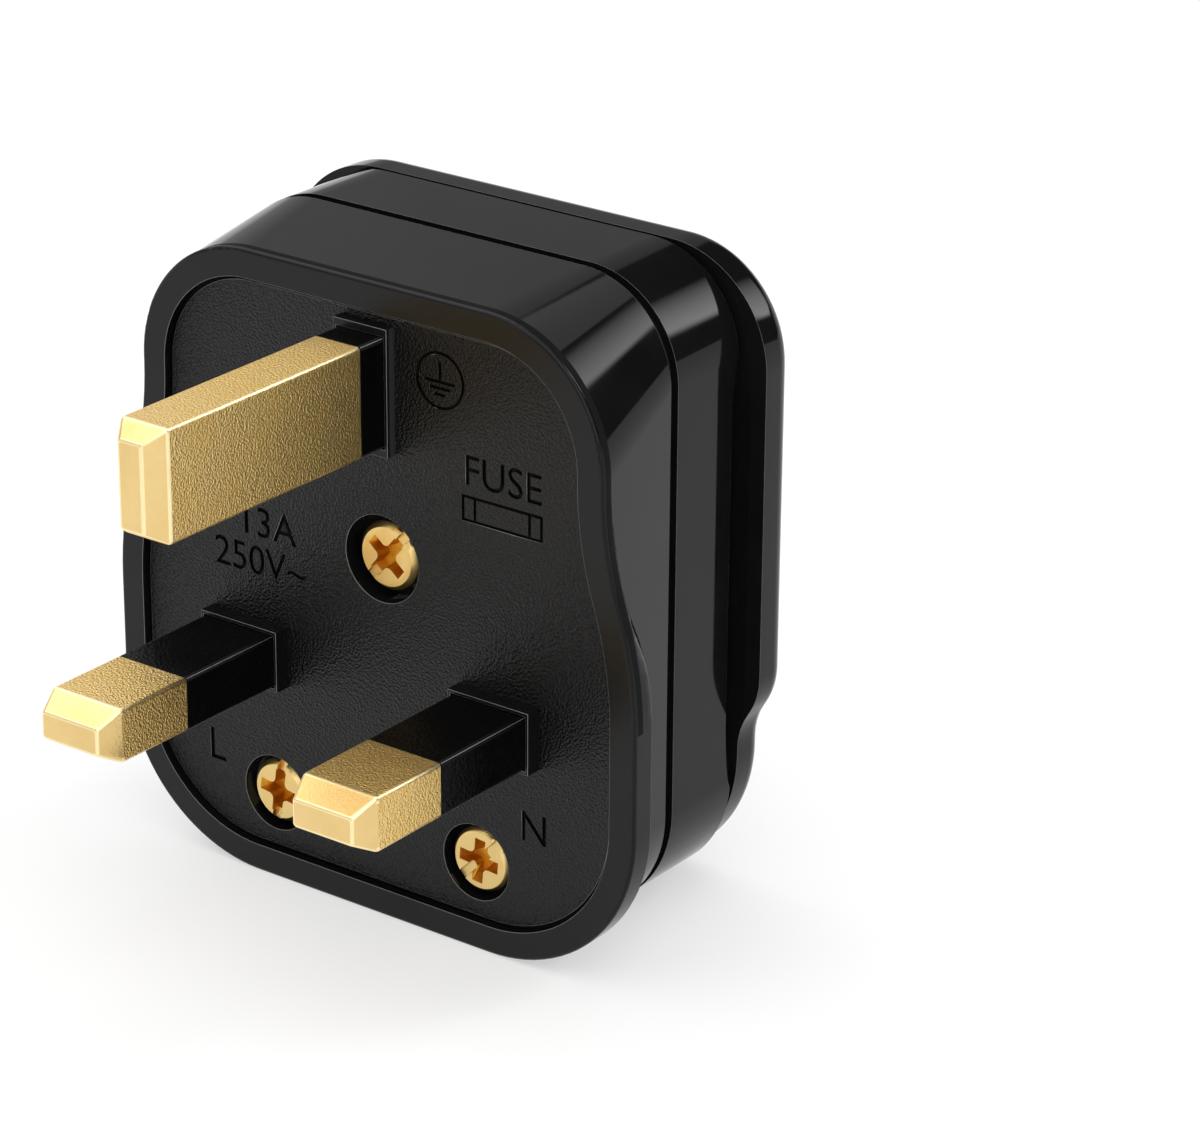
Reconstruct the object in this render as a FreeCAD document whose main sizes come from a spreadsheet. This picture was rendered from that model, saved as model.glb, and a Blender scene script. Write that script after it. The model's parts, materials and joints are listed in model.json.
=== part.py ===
import FreeCAD, Part
import math
import os
from types import SimpleNamespace
import Sketcher

# UK three pin plug, rewirable and fused, in millimetres.
# X is to the right as the pin face is looked at, the pins point to -Y, and Z is up.
# Each body is drawn with the rim of the pin face at Y = 0, then set back to centre the plug on Y.
# The plug stands on its lower edge at Z = 0.

Vector = FreeCAD.Vector
doc = FreeCAD.newDocument("three_pin_plug")
sheet = doc.addObject("Spreadsheet::Sheet", "Sizes")


class Size:
    """A length that is known as a number and as the sheet expression that gives it."""

    def __init__(self, value, text):
        self.value = float(value)
        self.text = text

    def __add__(self, other):
        return joined(self, "+", other, self.value + number(other))

    def __radd__(self, other):
        return joined(other, "+", self, number(other) + self.value)

    def __sub__(self, other):
        return joined(self, "-", other, self.value - number(other))

    def __rsub__(self, other):
        return joined(other, "-", self, number(other) - self.value)

    def __mul__(self, other):
        return joined(self, "*", other, self.value * number(other))

    def __rmul__(self, other):
        return joined(other, "*", self, number(other) * self.value)

    def __truediv__(self, other):
        return joined(self, "/", other, self.value / number(other))

    def __neg__(self):
        return Size(-self.value, "(0 - %s)" % self.text)


def number(item):
    return item.value if isinstance(item, Size) else float(item)


def text_of(item):
    return item.text if isinstance(item, Size) else "(%r)" % float(item)


def joined(left, sign, right, value):
    return Size(value, "(%s %s %s)" % (text_of(left), sign, text_of(right)))


zero = Size(0, "0")
half_turn = 180
full_turn = 360

dimensions = {
    # Pins, at the sizes and places of the standard
    "pin_line": 17.4,
    "pin_rise": 22.23,
    "pin_gap": 22.23,
    "earth_wide": 4.0,
    "earth_tall": 8.0,
    "earth_reach": 23.2,
    "earth_tip_long": 1.5,
    "earth_tip_side": 1.0,
    "earth_tip_end": 0.9,
    "live_wide": 6.35,
    "live_tall": 4.0,
    "live_reach": 18.2,
    "live_tip_long": 1.9,
    "live_tip_side": 0.65,
    "live_tip_end": 1.0,
    "blade_round": 0.3,
    "live_sleeve_reach": 9.7,
    "earth_sleeve_reach": 2.6,
    "sleeve_wall": 0.6,
    # Pin face and its flange
    "face_top": 47.2,
    "face_half_top": 20.1,
    "face_half_low": 22.9,
    "face_round_top": 9.8,
    "face_round_low": 12.4,
    "flare_drop": 0.4,
    "flare_low": 20.0,
    "back_flare_top": 33.5,
    "back_flare_low": 20.6,
    "flange_thick": 1.9,
    "flange_sink": 0.15,
    "rim_round": 0.3,
    "rim_wide": 2.1,
    "panel_deep": 0.5,
    "channel_wide": 0.3,
    "channel_deep": 0.3,
    "earth_collar_wide": 4.6,
    "earth_collar_tall": 9.2,
    "earth_collar_reach": 0.35,
    "live_collar_wide": 6.9,
    "live_collar_tall": 4.6,
    "live_collar_reach": 0.8,
    # Shell of the base and the cover
    "shell_start": 0.9,
    "waist_narrow": 1.1,
    "waist_rise": 1.05,
    "waist_round_top": 7.4,
    "waist_round_low": 9.3,
    "shell_low": 0.2,
    "wall": 2.0,
    "floor_thick": 3.0,
    "parting": 9.45,
    "groove_wide": 0.8,
    "groove_deep": 0.5,
    # Rear plate of the cover and the finger recess in front of it
    "plate_rear": 20.8,
    "plate_thick": 3.5,
    "plate_over": 2.0,
    "plate_narrow": 1.75,
    "plate_rise": 1.0,
    "plate_round_top": 8.2,
    "plate_round_low": 11.2,
    "plate_step_top": 17.6,
    "plate_step_low": 11.7,
    "plate_edge": 1.9,
    "neck_wide": 0.45,
    "scoop_deep": 1.8,
    "scoop_long": 1.15,
    "scoop_bend": 80.0,
    "scoop_height": 25.0,
    "cover_step": 13.9,
    "deep_ledge": 0.3,
    "rear_wall": 2.4,
    # Fits
    "slide_gap": 0.05,
    "meet_gap": 0.05,
    # Terminals
    "shoulder_thick": 1.8,
    "shoulder_edge": 0.9,
    "post_top": 12.0,
    "post_wide": 5.0,
    "neutral_post_wide": 6.8,
    "neutral_post_tall": 6.4,
    "wire_hole": 3.2,
    "wire_hole_rise": 4.2,
    "terminal_screw": 3.4,
    "terminal_head": 4.6,
    "terminal_head_thick": 1.6,
    "head_bevel": 0.35,
    "line_block_left": 8.6,
    "line_block_right": 4.2,
    "line_block_tall": 6.4,
    "barrier_inner": 3.1,
    "barrier_thick": 0.8,
    "barrier_low": 31.2,
    "barrier_rise": 7.4,
    "barrier_clear": 0.3,
    # Cartridge fuse and its clips
    "fuse_left": 12.6,
    "fuse_low": 14.0,
    "fuse_long": 25.4,
    "fuse_wide": 6.35,
    "cap_long": 6.0,
    "cap_wall": 0.2,
    "cap_end": 0.5,
    "tube_bore": 4.2,
    "element_wide": 0.4,
    "clip_thick": 0.45,
    "clip_long": 5.0,
    "clip_foot_wide": 4.0,
    "clip_foot_thick": 0.75,
    "clip_wrap": 52.0,
    "platform_thick": 1.0,
    "platform_edge": 3.9,
    # Screws of the face and what they hold
    "cover_screw_rise": 9.7,
    "cover_screw_side": 1.0,
    "cover_screw_wide": 3.5,
    "cover_screw_head": 5.0,
    "cover_screw_bore": 6.4,
    "cover_screw_seat": 2.5,
    "cover_boss": 7.8,
    "insert_wide": 5.0,
    "insert_long": 7.2,
    "grip_screw_side": 9.07,
    "grip_screw_drop": 10.97,
    "grip_screw_wide": 3.0,
    "grip_screw_head": 4.8,
    "grip_screw_bore": 5.7,
    "grip_screw_seat": 2.3,
    "screw_head_thick": 1.5,
    "shank_gap": 0.15,
    "grip_boss": 7.2,
    "grip_boss_rise": 5.5,
    "grip_bar_half": 12.6,
    "grip_bar_tall": 5.0,
    "grip_bar_thick": 2.2,
    "grip_saddle_half": 4.6,
    "grip_saddle_drop": 1.4,
    "grip_saddle_bore": 8.0,
    "grip_saddle_hollow": 0.8,
    "nut_flats": 5.5,
    "nut_thick": 2.4,
    "screw_end": 0.6,
    "cord_inlet": 9.0,
}
for row, (name, value) in enumerate(dimensions.items(), 1):
    sheet.set("A%d" % row, name)
    sheet.set("B%d" % row, str(value))
    sheet.setAlias("B%d" % row, name)
doc.recompute()
dim = SimpleNamespace(**{name: Size(value, "Sizes." + name) for name, value in dimensions.items()})

# Places that follow from the driving dimensions
earth_height = dim.pin_line + dim.pin_rise
live_side = dim.pin_gap / 2
flare_top = dim.face_top - dim.face_round_top - dim.flare_drop
waist_half = dim.face_half_top - dim.waist_narrow
waist_top = dim.face_top + dim.waist_rise
plate_front = dim.plate_rear - dim.plate_thick
plate_half_top = waist_half + dim.plate_over
plate_half_low = plate_half_top - dim.plate_narrow
plate_top = dim.face_top + dim.plate_rise
floor_in = dim.panel_deep + dim.floor_thick
groove_front = dim.parting - dim.groove_wide / 2
groove_rear = dim.parting + dim.groove_wide / 2
shoulder_top = floor_in + dim.shoulder_thick
platform_top = shoulder_top + dim.platform_thick
fuse_depth = platform_top + dim.clip_foot_thick + dim.clip_thick + dim.fuse_wide / 2
fuse_inner_low = dim.fuse_low + dim.cap_end
fuse_inner_top = dim.fuse_low + dim.fuse_long - dim.cap_end
upper_cap_low = dim.fuse_low + dim.fuse_long - dim.cap_long
clip_height = dim.fuse_low + dim.cap_long / 2
upper_clip_height = upper_cap_low + dim.cap_long / 2
wire_depth = floor_in + dim.wire_hole_rise
cover_screw_height = dim.pin_line + dim.cover_screw_rise
grip_height = dim.pin_line - dim.grip_screw_drop
grip_seat = floor_in + dim.grip_boss_rise
nut_seat = grip_seat + dim.grip_bar_thick
grip_end = nut_seat + dim.nut_thick + dim.screw_end
line_block_middle = -(dim.line_block_left + dim.line_block_right) / 2
insert_front = dim.parting + dim.meet_gap * 2
insert_end = insert_front + dim.insert_long
cavity_rear = dim.plate_rear - dim.rear_wall
neck_front = plate_front - dim.neck_wide
set_back = (dim.earth_reach - dim.plate_rear) / 2


# Sketch geometry
def hold(sk, kind, *places):
    return sk.addConstraint(Sketcher.Constraint(kind, *places))


def measure(sk, kind, *places_and_size):
    """Add one dimension and bind it to its expression."""
    size = places_and_size[-1]
    index = hold(sk, kind, *places_and_size[:-1], number(size))
    if isinstance(size, Size):
        sk.setExpression("Constraints[%d]" % index, size.text)


def across(sk, piece, end, size):
    """Set how far a point lies across the sketch from its origin."""
    if number(size) == 0:
        hold(sk, "PointOnObject", piece, end, -2)
    else:
        measure(sk, "DistanceX", -1, 1, piece, end, size)


def along(sk, piece, end, size):
    """Set how far a point lies up the sketch from its origin."""
    if number(size) == 0:
        hold(sk, "PointOnObject", piece, end, -1)
    else:
        measure(sk, "DistanceY", -1, 1, piece, end, size)


def polygon(sk, corners):
    first = sk.GeometryCount
    count = len(corners)
    points = [Vector(number(x), number(y), 0) for x, y in corners]
    for i in range(count):
        sk.addGeometry(Part.LineSegment(points[i], points[(i + 1) % count]))
    for i in range(count):
        hold(sk, "Coincident", first + i, 2, first + (i + 1) % count, 1)
    for i, (x, y) in enumerate(corners):
        across(sk, first + i, 1, x)
        along(sk, first + i, 1, y)


def box(sk, left, low, right, top):
    polygon(sk, [(left, low), (right, low), (right, top), (left, top)])


def centred_box(sk, x, y, wide, tall):
    box(sk, x - wide / 2, y - tall / 2, x + wide / 2, y + tall / 2)


def circle(sk, x, y, diameter):
    middle = Vector(number(x), number(y), 0)
    index = sk.addGeometry(Part.Circle(middle, Vector(0, 0, 1), number(diameter) / 2))
    across(sk, index, 3, x)
    along(sk, index, 3, y)
    measure(sk, "Diameter", index, diameter)


def line_piece(x1, y1, x2, y2):
    return Part.LineSegment(Vector(x1, y1, 0), Vector(x2, y2, 0)), 1, 2


def arc_piece(x, y, radius, start, stop):
    """An arc in degrees, with its first and last ends as the outline runs."""
    ring = Part.Circle(Vector(x, y, 0), Vector(0, 0, 1), radius)
    low, high = sorted((math.radians(start), math.radians(stop)))
    ends = (1, 2) if stop > start else (2, 1)
    return Part.ArcOfCircle(ring, low, high), ends[0], ends[1]


def smooth_outline(sk, pieces):
    """Draw pieces that run into each other smoothly, and return their numbers."""
    numbers = [sk.addGeometry(piece[0]) for piece in pieces]
    for i, piece in enumerate(pieces):
        after = (i + 1) % len(pieces)
        hold(sk, "Tangent", numbers[i], piece[2], numbers[after], pieces[after][1])
    return numbers


def rounded_box(sk, left, low, right, top, low_round, top_round):
    x1, y1, x2, y2 = number(left), number(low), number(right), number(top)
    a, b = number(low_round), number(top_round)
    numbers = smooth_outline(sk, [
        line_piece(x1 + a, y1, x2 - a, y1),
        arc_piece(x2 - a, y1 + a, a, -90, 0),
        line_piece(x2, y1 + a, x2, y2 - b),
        arc_piece(x2 - b, y2 - b, b, 0, 90),
        line_piece(x2 - b, y2, x1 + b, y2),
        arc_piece(x1 + b, y2 - b, b, 90, 180),
        line_piece(x1, y2 - b, x1, y1 + a),
        arc_piece(x1 + a, y1 + a, a, 180, 270),
    ])
    for level in (numbers[0], numbers[4]):
        hold(sk, "Horizontal", level)
    for upright in (numbers[2], numbers[6]):
        hold(sk, "Vertical", upright)
    along(sk, numbers[0], 1, low)
    across(sk, numbers[2], 1, right)
    along(sk, numbers[4], 1, top)
    across(sk, numbers[6], 1, left)
    for corner, radius in zip(numbers[1::2], (low_round, top_round, top_round, low_round)):
        measure(sk, "Radius", corner, radius)


def stepped_outline(sk, half_top, half_low, low, top, low_round, top_round, step_top, step_low):
    """An upright outline whose sides swing smoothly from one half width to another."""
    w1, w2, y1, y2 = number(half_top), number(half_low), number(low), number(top)
    a, b, z1, z2 = number(low_round), number(top_round), number(step_top), number(step_low)
    swing = math.degrees(2 * math.atan(abs(w2 - w1) / (z1 - z2)))
    bend = (z1 - z2) / (2 * math.sin(math.radians(swing)))
    if w2 > w1:
        right_side = [arc_piece(w2 - bend, z2, bend, 0, swing),
                      arc_piece(w1 + bend, z1, bend, half_turn + swing, half_turn)]
        left_side = [arc_piece(-w1 - bend, z1, bend, 0, -swing),
                     arc_piece(bend - w2, z2, bend, half_turn - swing, half_turn)]
    else:
        right_side = [arc_piece(w2 + bend, z2, bend, half_turn, half_turn - swing),
                      arc_piece(w1 - bend, z1, bend, -swing, 0)]
        left_side = [arc_piece(bend - w1, z1, bend, half_turn, half_turn + swing),
                     arc_piece(-w2 - bend, z2, bend, swing, 0)]
    numbers = smooth_outline(sk, [
        line_piece(a - w2, y1, w2 - a, y1),
        arc_piece(w2 - a, y1 + a, a, -90, 0),
        line_piece(w2, y1 + a, w2, z2),
        right_side[0],
        right_side[1],
        line_piece(w1, z1, w1, y2 - b),
        arc_piece(w1 - b, y2 - b, b, 0, 90),
        line_piece(w1 - b, y2, b - w1, y2),
        arc_piece(b - w1, y2 - b, b, 90, 180),
        line_piece(-w1, y2 - b, -w1, z1),
        left_side[0],
        left_side[1],
        line_piece(-w2, z2, -w2, y1 + a),
        arc_piece(a - w2, y1 + a, a, 180, 270),
    ])
    for level in (numbers[0], numbers[7]):
        hold(sk, "Horizontal", level)
    for upright in (numbers[2], numbers[5], numbers[9], numbers[12]):
        hold(sk, "Vertical", upright)
    along(sk, numbers[0], 1, low)
    along(sk, numbers[7], 1, top)
    across(sk, numbers[2], 1, half_low)
    across(sk, numbers[5], 1, half_top)
    across(sk, numbers[9], 1, -half_top)
    across(sk, numbers[12], 1, -half_low)
    for corner, radius in ((1, low_round), (6, top_round), (8, top_round), (13, low_round)):
        measure(sk, "Radius", numbers[corner], radius)
    for first, second in ((3, 4), (10, 11)):
        hold(sk, "Equal", numbers[first], numbers[second])
    along(sk, numbers[2], 2, step_low)
    along(sk, numbers[5], 1, step_top)
    along(sk, numbers[9], 2, step_top)
    along(sk, numbers[12], 1, step_low)


# Bodies and features
def new_body(label):
    body = doc.addObject("PartDesign::Body", label)
    body.Label = label
    body.Placement = FreeCAD.Placement(Vector(0, set_back.value, 0), FreeCAD.Rotation())
    body.setExpression("Placement.Base.y", set_back.text)
    return body


def origin_plane(body, role):
    return [item for item in body.Origin.OriginFeatures if item.Role == role][0]


def new_sketch(body, name, role, shift, draw):
    """Attach a sketch to an origin plane, shifted in the plane's own axes, and draw on it."""
    sk = body.newObject("Sketcher::SketchObject", name + "_sketch")
    sk.AttachmentSupport = [(origin_plane(body, role), "")]
    sk.MapMode = "FlatFace"
    sk.AttachmentOffset = FreeCAD.Placement(Vector(*[number(item) for item in shift]), FreeCAD.Rotation())
    for axis, item in zip("xyz", shift):
        if isinstance(item, Size):
            sk.setExpression("AttachmentOffset.Base." + axis, item.text)
    draw(sk)
    return sk


def level_sketch(body, name, depth, draw):
    """A sketch that faces the pins, at one depth along Y."""
    return new_sketch(body, name, "XZ_Plane", (0, 0, -depth), draw)


def extrude(body, kind, name, sk, length, reverse):
    feature = body.newObject(kind, name)
    feature.Profile = sk
    feature.Length = number(length)
    if isinstance(length, Size):
        feature.setExpression("Length", length.text)
    feature.Reversed = reverse
    return feature


def pad_back(body, name, front, rear, draw):
    """Add material from one depth to a deeper one."""
    sk = level_sketch(body, name, front, draw)
    return extrude(body, "PartDesign::Pad", name, sk, rear - front, True)


def cut_back(body, name, front, rear, draw):
    """Cut material from one depth to a deeper one."""
    sk = level_sketch(body, name, front, draw)
    return extrude(body, "PartDesign::Pocket", name, sk, rear - front, False)


def pad_up(body, name, low, top, draw):
    sk = new_sketch(body, name, "XY_Plane", (0, 0, low), draw)
    return extrude(body, "PartDesign::Pad", name, sk, top - low, False)


def cut_up(body, name, low, top, draw):
    sk = new_sketch(body, name, "XY_Plane", (0, 0, low), draw)
    return extrude(body, "PartDesign::Pocket", name, sk, top - low, True)


def loft_back(body, name, sections):
    """Add material that runs from one outline to another, each drawn at its own depth."""
    sketches = []
    for i, (depth, draw) in enumerate(sections):
        sketches.append(level_sketch(body, "%s_%d" % (name, i), depth, draw))
    feature = body.newObject("PartDesign::AdditiveLoft", name)
    feature.Profile = sketches[0]
    feature.Sections = sketches[1:]
    feature.Ruled = True
    return feature


def turn(body, name, x, height, corners):
    """Turn a half profile of radius and depth around an axis that points along Y."""
    sk = new_sketch(body, name, "XY_Plane", (x, 0, height), lambda sk: polygon(sk, corners))
    feature = body.newObject("PartDesign::Revolution", name)
    feature.Profile = sk
    feature.ReferenceAxis = (sk, ["V_Axis"])
    feature.Angle = full_turn
    return feature


def face_at(feature, depth):
    """The name of the flat face that lies at one depth along Y."""
    for i, face in enumerate(feature.Shape.Faces):
        bounds = face.BoundBox
        if bounds.YLength < 1e-6 and abs(bounds.YMin - number(depth)) < 1e-6:
            return "Face%d" % (i + 1)


def round_face(body, name, feature, depth, radius):
    """Round every edge of the flat face at one depth."""
    doc.recompute()
    fillet = body.newObject("PartDesign::Fillet", name)
    fillet.Base = (feature, [face_at(feature, depth)])
    fillet.Radius = number(radius)
    fillet.setExpression("Radius", radius.text)
    return fillet


def waist_outline(sk, inset):
    """The outline of the shell at the joint of base and cover, or one inside it."""
    half = waist_half - inset
    rounded_box(sk, -half, dim.shell_low + inset, half, waist_top - inset,
                dim.waist_round_low - inset, dim.waist_round_top - inset)


def mirrored_circles(sk, side, height, diameter):
    circle(sk, -side, height, diameter)
    circle(sk, side, height, diameter)


def mirrored_boxes(sk, inner, low, outer, top):
    box(sk, -outer, low, -inner, top)
    box(sk, inner, low, outer, top)


def cord_inlet_circle(sk):
    circle(sk, 0, dim.parting, dim.cord_inlet)


# Base: the front moulding that carries the pins
def make_base():
    body = new_body("base")
    taper = (dim.face_half_top - waist_half) / (groove_front - dim.shell_start)
    back_half = dim.face_half_top - taper * (dim.flange_thick - dim.shell_start) - dim.flange_sink

    def face_outline(sk):
        stepped_outline(sk, dim.face_half_top, dim.face_half_low, 0, dim.face_top, dim.face_round_low,
                        dim.face_round_top, flare_top, dim.flare_low)

    def flange_back(sk):
        stepped_outline(sk, back_half, dim.face_half_low, 0, dim.face_top, dim.face_round_low,
                        dim.face_round_top, dim.back_flare_top, dim.back_flare_low)

    def shell_front(sk):
        rounded_box(sk, -dim.face_half_top, dim.shell_low, dim.face_half_top, dim.face_top,
                    dim.waist_round_low, dim.face_round_top)

    def panel_outline(sk, edge):
        stepped_outline(sk, dim.face_half_top - edge, dim.face_half_low - edge, edge, dim.face_top - edge,
                        dim.face_round_low - edge, dim.face_round_top - edge, flare_top, dim.flare_low)

    def channel_ring(sk):
        panel_outline(sk, dim.rim_wide)
        panel_outline(sk, dim.rim_wide + dim.channel_wide)

    rim = pad_back(body, "rim", zero, dim.shell_start, face_outline)
    round_face(body, "rim_rounding", rim, zero, dim.rim_round)
    loft_back(body, "flange", [(dim.shell_start, face_outline), (dim.flange_thick, flange_back)])
    loft_back(body, "shell", [(dim.shell_start, shell_front),
                              (groove_front, lambda sk: waist_outline(sk, zero))])
    pad_back(body, "joint_lip", groove_front, dim.parting, lambda sk: waist_outline(sk, dim.groove_deep))
    cut_back(body, "panel", zero, dim.panel_deep, lambda sk: panel_outline(sk, dim.rim_wide))
    cut_back(body, "panel_channel", dim.panel_deep, dim.panel_deep + dim.channel_deep, channel_ring)
    cut_back(body, "cavity", floor_in, dim.parting, lambda sk: waist_outline(sk, dim.wall))
    cut_up(body, "cord_inlet_half", zero, dim.shell_low + dim.wall * 2, cord_inlet_circle)
    pad_back(body, "earth_collar", -dim.earth_collar_reach, floor_in, lambda sk: centred_box(
        sk, zero, earth_height, dim.earth_collar_wide, dim.earth_collar_tall))

    def live_collars(sk):
        for side in (-live_side, live_side):
            centred_box(sk, side, dim.pin_line, dim.live_collar_wide, dim.live_collar_tall)

    pad_back(body, "live_collars", -dim.live_collar_reach, floor_in, live_collars)
    pad_back(body, "screw_boss", dim.panel_deep, dim.parting - dim.meet_gap, lambda sk: circle(
        sk, dim.cover_screw_side, cover_screw_height, dim.cover_boss))
    pad_back(body, "grip_bosses", dim.panel_deep, grip_seat, lambda sk: mirrored_circles(
        sk, dim.grip_screw_side, grip_height, dim.grip_boss))
    barrier_top = waist_top - dim.wall - dim.barrier_clear
    pad_back(body, "barriers", dim.panel_deep, floor_in + dim.barrier_rise, lambda sk: mirrored_boxes(
        sk, dim.barrier_inner, dim.barrier_low, dim.barrier_inner + dim.barrier_thick, barrier_top))
    pad_back(body, "clip_pedestal", dim.panel_deep, platform_top, lambda sk: box(
        sk, -dim.fuse_left - dim.clip_foot_wide / 2, upper_clip_height - dim.clip_long / 2,
        -dim.line_block_left - dim.slide_gap, upper_clip_height + dim.clip_long / 2))
    cut_back(body, "earth_passage", -dim.earth_collar_reach, floor_in, lambda sk: centred_box(
        sk, zero, earth_height, dim.earth_wide + dim.slide_gap * 2, dim.earth_tall + dim.slide_gap * 2))

    def live_passages(sk):
        for side in (-live_side, live_side):
            centred_box(sk, side, dim.pin_line, dim.live_wide + dim.slide_gap * 2,
                        dim.live_tall + dim.slide_gap * 2)

    cut_back(body, "live_passages", -dim.live_collar_reach, floor_in, live_passages)
    cut_back(body, "cover_screw_counterbore", zero, dim.cover_screw_seat, lambda sk: circle(
        sk, dim.cover_screw_side, cover_screw_height, dim.cover_screw_bore))
    cut_back(body, "cover_screw_hole", zero, dim.parting, lambda sk: circle(
        sk, dim.cover_screw_side, cover_screw_height, dim.cover_screw_wide + dim.shank_gap * 2))
    cut_back(body, "grip_counterbores", zero, dim.grip_screw_seat, lambda sk: mirrored_circles(
        sk, dim.grip_screw_side, grip_height, dim.grip_screw_bore))
    cut_back(body, "grip_holes", zero, grip_seat, lambda sk: mirrored_circles(
        sk, dim.grip_screw_side, grip_height, dim.grip_screw_wide + dim.shank_gap * 2))
    return body


# Cover: the rear moulding with its finger recess and plate
def scoop_profile(sk):
    """One side of the finger recess: flat along the plate, hollow towards the joint."""
    near = -dim.scoop_bend + dim.scoop_long
    far = -dim.scoop_bend + dim.scoop_deep * 2 + dim.plate_over
    front = plate_front - dim.scoop_long
    x1, x2, y1, y2 = number(near), number(far), number(front), number(plate_front)
    radius = number(dim.scoop_long)
    sk.addGeometry(Part.LineSegment(Vector(x1 - radius, y2, 0), Vector(x2, y2, 0)))
    sk.addGeometry(Part.LineSegment(Vector(x2, y2, 0), Vector(x2, y1, 0)))
    sk.addGeometry(Part.LineSegment(Vector(x2, y1, 0), Vector(x1, y1, 0)))
    hollow = arc_piece(x1, y2, radius, 180, 270)[0]
    sk.addGeometry(hollow)
    for first, last, second, start in ((0, 2, 1, 1), (1, 2, 2, 1), (2, 2, 3, 2), (3, 1, 0, 1)):
        hold(sk, "Coincident", first, last, second, start)
    across(sk, 3, 3, near)
    along(sk, 3, 3, plate_front)
    across(sk, 1, 1, far)
    along(sk, 1, 1, plate_front)
    along(sk, 0, 1, plate_front)
    across(sk, 2, 1, far)
    across(sk, 2, 2, near)
    along(sk, 2, 1, front)
    along(sk, 2, 2, front)


def make_cover():
    body = new_body("cover")
    plate = pad_back(body, "plate", plate_front, dim.plate_rear, lambda sk: stepped_outline(
        sk, plate_half_top, plate_half_low, 0, plate_top, dim.plate_round_low, dim.plate_round_top,
        dim.plate_step_top, dim.plate_step_low))
    round_face(body, "plate_rounding", plate, dim.plate_rear, dim.plate_edge)
    pad_back(body, "neck", neck_front, plate_front, lambda sk: waist_outline(sk, dim.groove_deep))
    pad_back(body, "shell", groove_rear, neck_front, lambda sk: waist_outline(sk, zero))
    pad_back(body, "joint_lip", dim.parting, groove_rear, lambda sk: waist_outline(sk, dim.groove_deep))
    scoop_axis = waist_half - dim.scoop_deep + dim.scoop_bend
    sk = new_sketch(body, "scoop", "XY_Plane", (scoop_axis, 0, dim.scoop_height), scoop_profile)
    scoop = body.newObject("PartDesign::Groove", "scoop")
    scoop.Profile = sk
    scoop.ReferenceAxis = (sk, ["V_Axis"])
    scoop.Angle = full_turn
    doc.recompute()
    far_scoop = body.newObject("PartDesign::Mirrored", "far_scoop")
    far_scoop.Originals = [scoop]
    far_scoop.MirrorPlane = (origin_plane(body, "YZ_Plane"), [""])
    body.Tip = far_scoop
    cut_back(body, "cavity", dim.parting, dim.cover_step, lambda sk: waist_outline(sk, dim.wall))
    deep_low = dim.shell_low + dim.wall + dim.deep_ledge
    deep_top = waist_top - dim.wall - dim.deep_ledge
    deep_inset = dim.wall + dim.scoop_deep
    deep_half = waist_half - deep_inset
    cut_back(body, "deep_cavity", dim.parting, cavity_rear, lambda sk: rounded_box(
        sk, -deep_half, deep_low, deep_half, deep_top,
        dim.waist_round_low - deep_inset, dim.waist_round_top - deep_inset))
    pad_back(body, "insert_boss", dim.parting + dim.meet_gap, cavity_rear, lambda sk: circle(
        sk, dim.cover_screw_side, cover_screw_height, dim.cover_boss))
    cut_back(body, "insert_bore", dim.parting, insert_end, lambda sk: circle(
        sk, dim.cover_screw_side, cover_screw_height, dim.insert_wide + dim.slide_gap * 2))
    cut_up(body, "cord_inlet_half", zero, dim.shell_low + dim.wall * 2, cord_inlet_circle)
    return body


# Pins, each a blade and its terminal in one piece of brass, slimmer inside its sleeve
def blade(body, x, height, wide, tall, reach, tip_long, tip_side, tip_end, sleeve_reach):
    def section(sk, across_cut, end_cut):
        half = wide / 2 - across_cut
        rise = tall / 2 - end_cut
        rounded_box(sk, x - half, height - rise, x + half, height + rise, dim.blade_round, dim.blade_round)

    loft_back(body, "tip", [(-reach, lambda sk: section(sk, tip_side, tip_end)),
                            (tip_long - reach, lambda sk: section(sk, zero, zero))])
    pad_back(body, "blade", tip_long - reach, -sleeve_reach, lambda sk: section(sk, zero, zero))
    pad_back(body, "core", -sleeve_reach, floor_in, lambda sk: centred_box(
        sk, x, height, wide - dim.sleeve_wall * 2, tall - dim.sleeve_wall * 2))
    pad_back(body, "shoulder", floor_in, shoulder_top, lambda sk: centred_box(
        sk, x, height, wide + dim.shoulder_edge * 2, tall + dim.shoulder_edge * 2))


def screw_and_wire_holes(body, x, height, tall):
    """The hole that takes the wire and the threaded hole that meets it."""
    low = height - tall / 2
    cut_back(body, "screw_hole", wire_depth, dim.post_top, lambda sk: circle(
        sk, x, height, dim.terminal_screw + dim.slide_gap * 2))
    cut_up(body, "wire_hole", low, low + tall, lambda sk: circle(sk, x, wire_depth, dim.wire_hole))


def make_earth_pin():
    body = new_body("earth_pin")
    blade(body, zero, earth_height, dim.earth_wide, dim.earth_tall, dim.earth_reach, dim.earth_tip_long,
          dim.earth_tip_side, dim.earth_tip_end, dim.earth_sleeve_reach)
    pad_back(body, "post", shoulder_top, dim.post_top, lambda sk: centred_box(
        sk, zero, earth_height, dim.post_wide, dim.earth_tall))
    screw_and_wire_holes(body, zero, earth_height, dim.earth_tall)
    return body


def live_blade(body, x):
    blade(body, x, dim.pin_line, dim.live_wide, dim.live_tall, dim.live_reach, dim.live_tip_long,
          dim.live_tip_side, dim.live_tip_end, dim.live_sleeve_reach)


def make_line_pin():
    body = new_body("line_pin")
    live_blade(body, -live_side)
    pad_back(body, "platform", shoulder_top, platform_top, lambda sk: box(
        sk, -dim.fuse_left - dim.clip_foot_wide / 2, clip_height - dim.clip_long / 2,
        dim.platform_edge - live_side, dim.pin_line + dim.platform_edge))
    return body


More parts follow.
